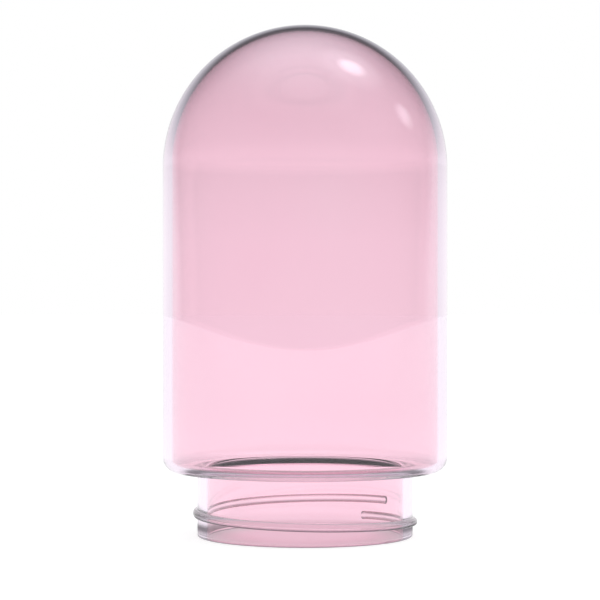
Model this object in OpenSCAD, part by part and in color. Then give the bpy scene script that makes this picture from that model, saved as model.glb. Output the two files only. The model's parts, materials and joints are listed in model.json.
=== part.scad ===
// Screw-neck glass dome: a clear pink glass shade with a round crown, open only at its neck.
// +Z is up, the origin is the centre of the neck rim, and every size is in millimetres.
// The glass is one piece. Its zones meet face to face.

/* [Body] */
// Outside diameter of the barrel and the crown
body_d = 107; // [84:0.5:150]
// Height of the whole glass, from the rim to the top of the crown
total_h = 192; // [120:1:280]
// Thickness of the barrel wall
wall = 3.5; // [2:0.1:5]
// Thickness of the glass at the top of the crown
crown_wall = 2.5; // [1.5:0.1:5]
// Radius of the rounded heel under the barrel
heel_r = 5.4; // [2:0.1:8]
// Radius of the rounded corner inside the foot of the barrel
inner_heel_r = 2.4; // [1:0.1:6]

/* [Shoulder] */
// Thickness of the flat shoulder
shoulder_t = 2.8; // [1.5:0.1:5]
// Radius of the rounded edge where the bore opens into the body
throat_r = 2.2; // [0.5:0.1:4]

/* [Neck] */
// Outside diameter of the neck beside its thread
neck_d = 81; // [60:0.5:98]
// Length of the neck, from the rim to the underside of the shoulder
neck_h = 24.3; // [18:0.1:40]
// Thickness of the neck wall
neck_wall = 3.6; // [2:0.1:5]
// Radius of the two rounded edges of the rim
rim_r = 0.8; // [0.2:0.1:1.5]
// Radius of the fillet between the neck and the shoulder
root_r = 0.8; // [0.2:0.1:1.5]

/* [Thread] */
// Diameter of the round bead that makes the thread
bead_d = 3.1; // [2:0.1:4]
// Distance that the bead stands out of the neck
bead_rise = 1.75; // [0.8:0.05:2]
// Drop of the bead in one full turn
pitch = 6.5; // [4.5:0.1:8]
// Angle that the bead runs round the neck
thread_sweep = 381; // [180:1:420]
// Angle from +X to the upper end of the bead
thread_start = 32; // [0:1:359]
// Height of the upper end of the bead above the rim
thread_top = 11.6; // [10:0.1:14]
// Hand of the thread: -1 is left-hand, 1 is right-hand
thread_hand = -1; // [-1:2:1]

/* [Hidden] */
$fn = 128;
glass = [0.99, 0.80, 0.88, 0.55];

// Shortest flat left between two rounds
flat_min = 0.2;

// Radii of the walls
body_r = body_d / 2;
inner_r = body_r - wall;
neck_r = neck_d / 2;
bore_r = neck_r - neck_wall;
collar_r = neck_r + root_r;

// Rounds, each held to the room it has
rim = min(rim_r, neck_wall / 2 - flat_min);
heel = min(heel_r, body_r - collar_r - flat_min);
throat = min(throat_r, shoulder_t - flat_min);
inner_heel = min(inner_heel_r, inner_r - bore_r - throat - flat_min);

// Heights of the levels
floor_z = neck_h + shoulder_t;
barrel_z = max(neck_h + heel, floor_z + inner_heel);
outer_centre_z = total_h - body_r;
inner_centre_z = outer_centre_z + wall - crown_wall;
crown_z = min(outer_centre_z, inner_centre_z);

// Bead: a round section with its inner side flattened where it sits on the neck
step_angle_max = 5;
arc_steps = 14;
thread_steps = ceil(thread_sweep / step_angle_max);
step_angle = thread_sweep / thread_steps;
bead_r = bead_d / 2;
bead_centre_r = neck_r + bead_rise - bead_r;
seat_r = neck_r / cos(step_angle / 2);
half_arc = acos((seat_r - bead_centre_r) / bead_r);
section_size = arc_steps + 1;

// What a round of radius r leaves of a square corner at the origin
module corner_waste(r) {
    difference() {
        square(r);
        translate([r, r]) circle(r = r);
    }
}

// Closed dome shape of radius r from the crown's base up, with its centre at height z
module dome_profile(r, z) {
    intersection() {
        translate([0, z]) circle(r = r);
        translate([0, z]) square(r);
    }
    if (z > crown_z) translate([0, crown_z]) square([r, z - crown_z]);
}

// Crown: the round top of the glass
module crown() {
    color(glass)
    rotate_extrude() difference() {
        dome_profile(body_r, outer_centre_z);
        dome_profile(inner_r, inner_centre_z);
    }
}

// Barrel: the straight round wall under the crown
module barrel() {
    color(glass)
    rotate_extrude()
        translate([inner_r, barrel_z]) square([wall, crown_z - barrel_z]);
}

// Hollow of the body above the shoulder, with a rounded lower corner
module hollow_profile() {
    difference() {
        translate([0, floor_z]) square([inner_r, barrel_z - floor_z]);
        translate([inner_r, floor_z]) mirror([1, 0]) corner_waste(inner_heel);
    }
}

// Everything under the barrel: the neck, the shoulder and the rounds between them
module foot_profile() {
    difference() {
        union() {
            translate([bore_r, 0]) square([neck_wall, neck_h]);
            translate([bore_r, neck_h]) square([body_r - bore_r, barrel_z - neck_h]);
            translate([neck_r, neck_h]) mirror([0, 1]) corner_waste(root_r);
        }
        hollow_profile();
        translate([body_r, neck_h]) mirror([1, 0]) corner_waste(heel);
        translate([bore_r, floor_z]) mirror([0, 1]) corner_waste(throat);
        translate([bore_r, 0]) corner_waste(rim);
        translate([neck_r, 0]) mirror([1, 0]) corner_waste(rim);
    }
}

// Where the neck runs up through the shoulder to the floor of the body
module collar_zone() {
    square([collar_r, floor_z]);
}

// Shoulder: the flat ring round the top of the neck, with its rounded heel
module shoulder() {
    color(glass)
    rotate_extrude() difference() {
        foot_profile();
        collar_zone();
    }
}

// Neck: the straight sleeve from its rim to its rounded throat
module neck() {
    color(glass)
    rotate_extrude() intersection() {
        foot_profile();
        collar_zone();
    }
}

// Angle and height of the bead's centre line after a number of steps from its upper end
function thread_angle(i) = thread_start - thread_hand * i * step_angle;
function thread_z(i) = thread_top - pitch * i * step_angle / 360;

// Point j of the bead's section after i steps
function bead_point(i, j) =
    let (a = thread_hand * half_arc * (1 - 2 * j / arc_steps))
    let (r = bead_centre_r + bead_r * cos(a))
    [r * cos(thread_angle(i)), r * sin(thread_angle(i)), thread_z(i) + bead_r * sin(a)];

// Number of that point, with j going round the section
function point_id(i, j) = i * section_size + j % section_size;

// Thread: the bead that winds down the outside of the neck
module thread() {
    last_section = thread_steps * section_size;
    color(glass)
    polyhedron(
        points = [
            for (i = [0:thread_steps], j = [0:arc_steps])
                bead_point(i, j)
        ],
        faces = [
            [for (j = [0:arc_steps]) j],
            [for (j = [arc_steps:-1:0]) last_section + j],
            for (i = [0:thread_steps - 1], j = [0:arc_steps])
                [point_id(i, j), point_id(i + 1, j), point_id(i + 1, j + 1)],
            for (i = [0:thread_steps - 1], j = [0:arc_steps])
                [point_id(i, j), point_id(i + 1, j + 1), point_id(i, j + 1)]
        ]
    );
}

crown();
barrel();
shoulder();
neck();
thread();
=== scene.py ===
"""Clear pink screw-neck glass dome, standing on its neck rim in a white studio."""

import json
from math import cos, pi, radians, sin, tan

import bmesh
import bpy
from mathutils import Matrix, Vector


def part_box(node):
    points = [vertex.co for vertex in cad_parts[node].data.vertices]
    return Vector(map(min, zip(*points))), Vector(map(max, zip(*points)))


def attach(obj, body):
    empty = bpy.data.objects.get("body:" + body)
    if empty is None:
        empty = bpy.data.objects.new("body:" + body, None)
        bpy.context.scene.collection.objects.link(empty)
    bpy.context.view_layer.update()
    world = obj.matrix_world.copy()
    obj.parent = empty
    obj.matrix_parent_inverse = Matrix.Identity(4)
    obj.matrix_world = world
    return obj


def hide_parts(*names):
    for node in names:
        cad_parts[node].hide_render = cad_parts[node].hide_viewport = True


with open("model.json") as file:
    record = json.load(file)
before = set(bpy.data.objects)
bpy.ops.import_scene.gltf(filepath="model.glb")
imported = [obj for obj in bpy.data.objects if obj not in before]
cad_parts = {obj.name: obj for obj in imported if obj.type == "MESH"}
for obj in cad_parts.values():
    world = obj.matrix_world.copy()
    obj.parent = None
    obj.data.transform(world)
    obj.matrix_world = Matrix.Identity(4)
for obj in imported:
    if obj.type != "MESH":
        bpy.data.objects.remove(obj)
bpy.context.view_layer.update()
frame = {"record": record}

# Sizes that the frame gives, in metres
body_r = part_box("barrel")[1].x
crown_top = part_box("crown")[1].z
outer_centre = crown_top - body_r
neck_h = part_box("shoulder")[0].z
mounts = {m["name"]: m for m in frame["record"]["mounts"]}
bore_r = mounts["neck_bore"]["dims"]["r_mm"] / 1000
crest_r = mounts["neck_thread"]["dims"]["r_mm"] / 1000

# Sizes of the glass that the boxes don't show
wall = 0.0035
crown_wall = 0.0025
shoulder_t = 0.0028
heel_r = 0.0054
inner_heel_r = 0.0024
throat_r = 0.0022
neck_wall = 0.0036
rim_r = 0.0008
root_r = 0.0008
bead_d = 0.0031
pitch = 0.0065

# Both ends of the bead slope down into the neck: over which angle, and how far under its face
run_out = radians(3)
end_depth = 0.0002

# The bead's angles, with half of each slope past the end
thread_sweep = radians(381) + run_out
thread_start = radians(32) - run_out / 2
thread_top = 0.0116

inner_r = body_r - wall
inner_centre = crown_top - crown_wall - inner_r
floor_z = neck_h + shoulder_t
neck_r = bore_r + neck_wall
rim_middle = bore_r + neck_wall / 2
bead_r = bead_d / 2

# How finely the round shapes are cut
ROUND_STEPS = 256
WEDGES = 32
DOME_STEPS = 56
FILLET_STEPS = 10
WALL_STEPS = 24
FLAT_STEPS = 4
BEAD_SIDES = 32
BEAD_STEPS = 480
WELD = 1e-6
CREASE = radians(38)

# Glass: how much it bends light, and the tints of its two faces
GLASS_IOR = 1.5
OUTSIDE_TINT = (1.0, 0.862, 0.995)
INSIDE_TINT = (1.0, 0.725, 0.763)

# Unevenness of the blown glass: share of its tint, and sizes in metres
TINT_SWING = 0.12
TINT_PATCH = 0.05
WAVE_HEIGHT = 0.000004
WAVE_LENGTH = 0.02

# Studio floor: its radius, how far its middle lies behind the glass, and its grey
FLOOR_RADIUS = 7.15
FLOOR_SHIFT = 4.15
FLOOR_STEPS = 128
FLOOR_GREY = 0.3

# Glow of the floor, where 1 is white: as the camera sees it, and inside the neck, where its darker pink
# glow is painted shadow of light that passed the pink glass
FLOOR_SEEN = 0.9
NECK_SHADOW_LEVEL = 0.72
NECK_SHADOW_TINT = (1, 0.75, 0.84)

# Soft round lamps of the studio: where they stand, how many degrees they spread and how bright they are
TOP_LAMP = (0.422, 0.105, 0.9)
SIDE_LAMP = (0.8735, 0.176, 0.454)
FRONT_LAMP = (0.673, -0.314, 0.669)
LAMPS = (
    (TOP_LAMP, 9.5, 2.7),
    (TOP_LAMP, 22, 0.65),
    (SIDE_LAMP, 8.2, 1.6),
    (FRONT_LAMP, 35, 0.22),
)

# Where the middle of the backdrop stands, and the tint of the light that comes from higher up
BACKDROP_MIDDLE = (0.07, 1, 0)
HIGH_TINT = (0.95, 1, 1.01)

# Camera: where it stands, and its lens and sensor in millimetres
CAMERA_PLACE = (-0.0019, -0.79, 0.08875)
CAMERA_LENS = 125.8
CAMERA_SENSOR = 36

X_AXIS = (1, 0, 0)
Y_AXIS = (0, 1, 0)
Z_AXIS = (0, 0, 1)
FRONT = (0, -1, 0)
WHITE = (1, 1, 1, 1)


def new_piece(name, bm):
    """A mesh object at the origin from a bmesh."""
    mesh = bpy.data.meshes.new(name)
    bm.to_mesh(mesh)
    bm.free()
    piece = bpy.data.objects.new(name, mesh)
    bpy.context.scene.collection.objects.link(piece)
    return piece


def line_to(bm, tip, r, z, parts):
    """Draws the profile straight on from its tip, and returns the new tip."""
    start = tip.co.copy()
    end = Vector((r, 0, z))
    for i in range(parts):
        tip = bmesh.ops.extrude_vert_indiv(bm, verts=[tip])["verts"][0]
        tip.co = start.lerp(end, (i + 1) / parts)
    return tip


def arc_on(bm, tip, r, z, degrees, parts):
    """Draws the profile on from its tip round a centre, and returns the new tip."""
    made = bmesh.ops.spin(
        bm, geom=[tip], cent=(r, 0, z), axis=Y_AXIS, angle=radians(degrees), steps=parts
    )
    return [v for v in made["geom_last"] if isinstance(v, bmesh.types.BMVert)][0]


def draw_outside(bm):
    """Outside of the half section, from the top of the crown down to the middle of the rim."""
    tip = bm.verts.new((0, 0, crown_top))
    tip = arc_on(bm, tip, 0, outer_centre, 90, DOME_STEPS)
    tip = line_to(bm, tip, body_r, neck_h + heel_r, WALL_STEPS)
    tip = arc_on(bm, tip, body_r - heel_r, neck_h + heel_r, 90, FILLET_STEPS)
    tip = line_to(bm, tip, neck_r + root_r, neck_h, FLAT_STEPS)
    tip = arc_on(bm, tip, neck_r + root_r, neck_h - root_r, -90, FILLET_STEPS)
    tip = line_to(bm, tip, neck_r, rim_r, WALL_STEPS)
    tip = arc_on(bm, tip, neck_r - rim_r, rim_r, 90, FILLET_STEPS)
    line_to(bm, tip, rim_middle, 0, 1)


def draw_inside(bm):
    """Inside of the half section, from the middle of the rim up to the top of the hollow."""
    tip = bm.verts.new((rim_middle, 0, 0))
    tip = line_to(bm, tip, bore_r + rim_r, 0, 1)
    tip = arc_on(bm, tip, bore_r + rim_r, rim_r, 90, FILLET_STEPS)
    tip = line_to(bm, tip, bore_r, floor_z - throat_r, WALL_STEPS)
    tip = arc_on(bm, tip, bore_r + throat_r, floor_z - throat_r, 90, FILLET_STEPS)
    tip = line_to(bm, tip, inner_r - inner_heel_r, floor_z, FLAT_STEPS)
    tip = arc_on(bm, tip, inner_r - inner_heel_r, floor_z + inner_heel_r, -90, FILLET_STEPS)
    tip = line_to(bm, tip, inner_r, inner_centre, WALL_STEPS)
    arc_on(bm, tip, 0, inner_centre, -90, DOME_STEPS)


def all_round(bm):
    """Fills the full round from one wedge, with twice as much of it after each copy."""
    share = WEDGES
    while share > 1:
        copy = bmesh.ops.duplicate(bm, geom=bm.verts[:] + bm.edges[:] + bm.faces[:])["geom"]
        copied = [v for v in copy if isinstance(v, bmesh.types.BMVert)]
        bmesh.ops.rotate(bm, verts=copied, matrix=Matrix.Rotation(2 * pi / share, 3, "Z"))
        share //= 2


def turned_wall():
    """The whole wall of the glass, turned from its half section, with the inside as its own finish."""
    bm = bmesh.new()
    for finish, draw in enumerate((draw_outside, draw_inside)):
        old_verts = set(bm.verts)
        old_edges = set(bm.edges)
        old_faces = set(bm.faces)
        draw(bm)
        line = [v for v in bm.verts if v not in old_verts]
        line += [e for e in bm.edges if e not in old_edges]
        bmesh.ops.spin(
            bm, geom=line, axis=Z_AXIS, angle=2 * pi / WEDGES, steps=ROUND_STEPS // WEDGES
        )
        for face in bm.faces:
            if face not in old_faces:
                face.material_index = finish
    all_round(bm)
    bmesh.ops.remove_doubles(bm, verts=bm.verts[:], dist=WELD)
    bmesh.ops.recalc_face_normals(bm, faces=bm.faces[:])
    wall_piece = new_piece("glass_dome", bm)
    wall_piece.data.materials.append(clear_glass("lilac_outside", OUTSIDE_TINT))
    wall_piece.data.materials.append(clear_glass("pink_inside", INSIDE_TINT))
    return wall_piece


def sink_ends(bm):
    """Slopes both ends of the bead down into the neck, ring by ring."""
    for place, vert in enumerate(bm.verts):
        ring = place // BEAD_SIDES
        to_end = min(ring, BEAD_STEPS - ring) * thread_sweep / BEAD_STEPS
        share = max(0, 1 - to_end / run_out)
        inward = Vector((-vert.co.x, -vert.co.y, 0)).normalized()
        vert.co += inward * (crest_r - neck_r + end_depth) * share ** 2


def thread_bead():
    """The round bead that winds down the neck, with both ends sloped into it."""
    bm = bmesh.new()
    stand_up = Matrix.Rotation(pi / 2, 4, "X")
    out_to_crest = Matrix.Translation((crest_r - bead_r, 0, thread_top))
    turn_to_start = Matrix.Rotation(thread_start, 4, "Z")
    bmesh.ops.create_circle(
        bm, segments=BEAD_SIDES, radius=bead_r, matrix=turn_to_start @ out_to_crest @ stand_up
    )
    drop = pitch * thread_sweep / (2 * pi)
    bmesh.ops.spin(
        bm,
        geom=bm.verts[:] + bm.edges[:],
        axis=Z_AXIS,
        dvec=(0, 0, -drop / BEAD_STEPS),
        angle=thread_sweep,
        steps=BEAD_STEPS,
    )
    sink_ends(bm)
    bmesh.ops.holes_fill(bm, edges=[e for e in bm.edges if e.is_boundary], sides=BEAD_SIDES)
    bmesh.ops.recalc_face_normals(bm, faces=bm.faces[:])
    return new_piece("thread_bead", bm)


def joined_to(piece, addition):
    """Runs the addition into the piece as one closed surface."""
    join = piece.modifiers.new("join", "BOOLEAN")
    join.operation = "UNION"
    join.solver = "EXACT"
    join.object = addition
    depsgraph = bpy.context.evaluated_depsgraph_get()
    whole = bpy.data.meshes.new_from_object(piece.evaluated_get(depsgraph))
    piece.modifiers.clear()
    piece.data = whole
    bpy.data.objects.remove(addition)
    return piece


def build_glass():
    """The whole glass as one piece, in place of the five zones of the frame."""
    piece = joined_to(turned_wall(), thread_bead())
    piece.data.shade_smooth()
    piece.data.set_sharp_from_angle(angle=CREASE)
    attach(piece, "root")
    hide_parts("crown", "barrel", "shoulder", "neck", "thread")


def ramp(tree, value, start, end, at_start, at_end, kind="SMOOTHSTEP"):
    """A change from one level to another as a value goes from start to end."""
    node = tree.nodes.new("ShaderNodeMapRange")
    node.interpolation_type = kind
    node.inputs["From Min"].default_value = start
    node.inputs["From Max"].default_value = end
    node.inputs["To Min"].default_value = at_start
    node.inputs["To Max"].default_value = at_end
    tree.links.new(value, node.inputs["Value"])
    return node.outputs["Result"]


def fill(tree, sockets, terms):
    """Links or sets each socket, as its term is a socket or a plain value."""
    for socket, term in zip(sockets, terms):
        if isinstance(term, bpy.types.NodeSocket):
            tree.links.new(term, socket)
        else:
            socket.default_value = term


def maths(tree, operation, a, b):
    """One sum of two sockets or a socket and a number."""
    node = tree.nodes.new("ShaderNodeMath")
    node.operation = operation
    fill(tree, node.inputs, (a, b))
    return node.outputs["Value"]


def product(tree, *terms):
    """All the terms multiplied."""
    total = terms[0]
    for term in terms[1:]:
        total = maths(tree, "MULTIPLY", total, term)
    return total


def blend(tree, kind, share, a, b):
    """A mix of two sockets or plain values by a share."""
    node = tree.nodes.new("ShaderNodeMix")
    node.data_type = kind
    fill(tree, [i for i in node.inputs if i.enabled], (share, a, b))
    return [o for o in node.outputs if o.enabled][0]


def along(tree, vector, direction):
    """How far a vector goes in a direction, which for a line of sight is a cosine."""
    node = tree.nodes.new("ShaderNodeVectorMath")
    node.operation = "DOT_PRODUCT"
    tree.links.new(vector, node.inputs[0])
    node.inputs[1].default_value = Vector(direction).normalized()
    return node.outputs["Value"]


def distance(tree, place, stretch, shift):
    """How far a place is from the middle of the floor, once it is stretched and shifted."""
    moved = tree.nodes.new("ShaderNodeVectorMath")
    moved.operation = "MULTIPLY_ADD"
    tree.links.new(place, moved.inputs[0])
    moved.inputs[1].default_value = stretch
    moved.inputs[2].default_value = shift
    length = tree.nodes.new("ShaderNodeVectorMath")
    length.operation = "LENGTH"
    tree.links.new(moved.outputs["Vector"], length.inputs[0])
    return length.outputs["Value"]


def clouds(tree, size):
    """Soft random patches about as wide as a size in metres."""
    coords = tree.nodes.new("ShaderNodeTexCoord")
    noise = tree.nodes.new("ShaderNodeTexNoise")
    noise.inputs["Scale"].default_value = 1 / size
    noise.inputs["Detail"].default_value = 1
    tree.links.new(coords.outputs["Object"], noise.inputs["Vector"])
    return noise.outputs["Fac"]


def clear_glass(name, tint):
    """Blown glass whose face tints the light that passes it, faintly uneven in colour and surface."""
    material = bpy.data.materials.new(name)
    material.use_nodes = True
    tree = material.node_tree
    shader = tree.nodes["Principled BSDF"]
    pale = [channel ** (1 - TINT_SWING) for channel in tint]
    deep = [channel ** (1 + TINT_SWING) for channel in tint]
    colour = blend(tree, "RGBA", clouds(tree, TINT_PATCH), (*pale, 1), (*deep, 1))
    tree.links.new(colour, shader.inputs["Base Color"])
    wave = tree.nodes.new("ShaderNodeBump")
    wave.inputs["Distance"].default_value = WAVE_HEIGHT
    tree.links.new(clouds(tree, WAVE_LENGTH), wave.inputs["Height"])
    tree.links.new(wave.outputs["Normal"], shader.inputs["Normal"])
    shader.inputs["Roughness"].default_value = 0
    shader.inputs["IOR"].default_value = GLASS_IOR
    shader.inputs["Transmission Weight"].default_value = 1
    return material


def painted_floor_shadow(tree, place, radius):
    """Glow of the floor outside the neck, with painted shadow and light: a painted shadow under the
    shoulder, lighter further off and in front.
    """
    ahead = along(tree, place, FRONT)
    # Painted light: the floor glows brighter in front of the glass than behind it
    open_floor = ramp(tree, ahead, 0, 1, 0.805, 0.98)
    # Painted shadow of the glass, darkest in a ring under the shoulder
    shade_radius = distance(tree, place, (0.75, 1, 1), (0, 0.004, 0))
    shoulder_shade = ramp(tree, shade_radius, 0.048, 0.066, 0.15, 0.95)
    inner_edge = ramp(tree, shade_radius, 0.035, 0.047, 0.6, 0)
    back_edge = ramp(tree, ahead, -0.055, -0.028, 0.8, 0)
    near = maths(tree, "MAXIMUM", shoulder_shade, inner_edge)
    near = maths(tree, "MAXIMUM", near, back_edge)
    rise = ramp(tree, radius, 0.07, 0.1, 1, 1.12)
    fade = ramp(tree, radius, 0.12, 1, 1, 0.93)
    return product(tree, open_floor, near, rise, fade)


def pale_floor():
    """Pale matt floor with a glow of its own, with painted pink shadow inside the neck and a painted
    shadow round it.
    """
    material = bpy.data.materials.new("white_floor")
    material.use_nodes = True
    tree = material.node_tree
    shader = tree.nodes["Principled BSDF"]
    shader.inputs["Base Color"].default_value = (FLOOR_GREY, FLOOR_GREY, FLOOR_GREY, 1)
    shader.inputs["Roughness"].default_value = 1
    shader.inputs["Specular IOR Level"].default_value = 0
    place = tree.nodes.new("ShaderNodeTexCoord").outputs["Object"]
    radius = distance(tree, place, (1, 1, 1), (0, 0, 0))
    outside = ramp(tree, radius, 0.02, 0.045, 0, 1)
    # Inside the neck the glow is painted shadow, dimmer and pink as light through the glass would be
    shown_in_glass = blend(tree, "FLOAT", outside, NECK_SHADOW_LEVEL, painted_floor_shadow(tree, place, radius))
    path = tree.nodes.new("ShaderNodeLightPath")
    glow = blend(tree, "FLOAT", path.outputs["Is Camera Ray"], shown_in_glass, FLOOR_SEEN)
    tree.links.new(glow, shader.inputs["Emission Strength"])
    # Pink of the painted shadow inside the neck
    tint = blend(tree, "RGBA", outside, (*NECK_SHADOW_TINT, 1), WHITE)
    tree.links.new(tint, shader.inputs["Emission Color"])
    return material


def studio_floor():
    """Round floor that reaches far behind the glass."""
    bm = bmesh.new()
    bmesh.ops.create_circle(bm, cap_ends=True, segments=FLOOR_STEPS, radius=FLOOR_RADIUS)
    bmesh.ops.translate(bm, verts=bm.verts[:], vec=(0, FLOOR_SHIFT, 0))
    floor = new_piece("studio_floor", bm)
    floor.data.materials.append(pale_floor())


def backdrop_level(tree, up, behind):
    """Light of the backdrop: white at the floor, falling with height and a little to the sides."""
    slope = maths(tree, "DIVIDE", up, maths(tree, "MAXIMUM", behind, 0.1))
    fall = ramp(tree, slope, tan(radians(1.6)), tan(radians(31)), 0.99, 0.09, "LINEAR")
    haze = ramp(tree, up, sin(radians(2.8)), sin(radians(4.1)), 1, 0.945)
    sides = ramp(tree, behind, cos(radians(34)), cos(radians(14)), 0.91, 1)
    return product(tree, fall, haze, sides)


def room_level(tree, up, behind):
    """Light of the dim room: lightest near the floor, darkest high up at the back."""
    low = ramp(tree, up, sin(radians(-1)), sin(radians(6)), 0.5, 0.2)
    corner = maths(tree, "MULTIPLY", up, behind)
    return maths(tree, "MULTIPLY", low, ramp(tree, corner, 0.15, 0.35, 1, 0.3))


def ceiling(tree, sight):
    """A wide soft glow overhead that fades sooner to the sides than to the front and the back."""
    height = ramp(tree, along(tree, sight, Z_AXIS), cos(radians(57)), 1, 0, 1, "LINEAR")
    glow = maths(tree, "MULTIPLY", maths(tree, "POWER", height, 1.7), 1.4)
    across = maths(tree, "ABSOLUTE", along(tree, sight, X_AXIS), 0)
    return maths(tree, "MULTIPLY", glow, ramp(tree, across, sin(radians(20)), sin(radians(48)), 1, 0.6))


def soft_lamp(tree, sight, direction, spread, level):
    """A round soft glow in a direction, gone at its spread in degrees."""
    return ramp(tree, along(tree, sight, direction), cos(radians(spread)), 1, 0, level)


def studio_world():
    """White backdrop behind the glass, a dim room round it, a bright ceiling and three soft lamps."""
    world = bpy.data.worlds.new("studio")
    bpy.context.scene.world = world
    world.use_nodes = True
    tree = world.node_tree
    background = tree.nodes["Background"]
    seen = tree.nodes.new("ShaderNodeLightPath").outputs["Is Camera Ray"]
    sight = tree.nodes.new("ShaderNodeTexCoord").outputs["Generated"]
    up = along(tree, sight, Z_AXIS)
    behind = along(tree, sight, Y_AXIS)
    reach = maths(tree, "ADD", along(tree, sight, BACKDROP_MIDDLE), ramp(tree, up, 0, 0.07, 0, -0.1))
    share = ramp(tree, reach, 0.45, 0.55, 0, 1)
    level = blend(tree, "FLOAT", share, room_level(tree, up, behind), backdrop_level(tree, up, behind))
    level = maths(tree, "ADD", level, ceiling(tree, sight))
    for direction, spread, strength in LAMPS:
        level = maths(tree, "ADD", level, soft_lamp(tree, sight, direction, spread, strength))
    tree.links.new(maths(tree, "MAXIMUM", level, seen), background.inputs["Strength"])
    high = ramp(tree, up, sin(radians(4)), sin(radians(15)), 0, 1)
    tint = blend(tree, "RGBA", maths(tree, "SUBTRACT", high, seen), WHITE, (*HIGH_TINT, 1))
    tree.links.new(tint, background.inputs["Color"])


def photo_camera():
    """Level camera in front of the glass, a little to the left of its axis."""
    lens = bpy.data.cameras.new("photo_camera")
    lens.sensor_width = CAMERA_SENSOR
    lens.lens = CAMERA_LENS
    camera = bpy.data.objects.new("photo_camera", lens)
    camera.location = CAMERA_PLACE
    camera.rotation_euler = (pi / 2, 0, 0)
    bpy.context.scene.collection.objects.link(camera)
    bpy.context.scene.camera = camera


build_glass()
studio_floor()
studio_world()
photo_camera()
bpy.context.scene.view_settings.view_transform = "Standard"

# Light that is reflected inside the glass is followed as far as light that passes it
bpy.context.scene.cycles.glossy_bounces = 12
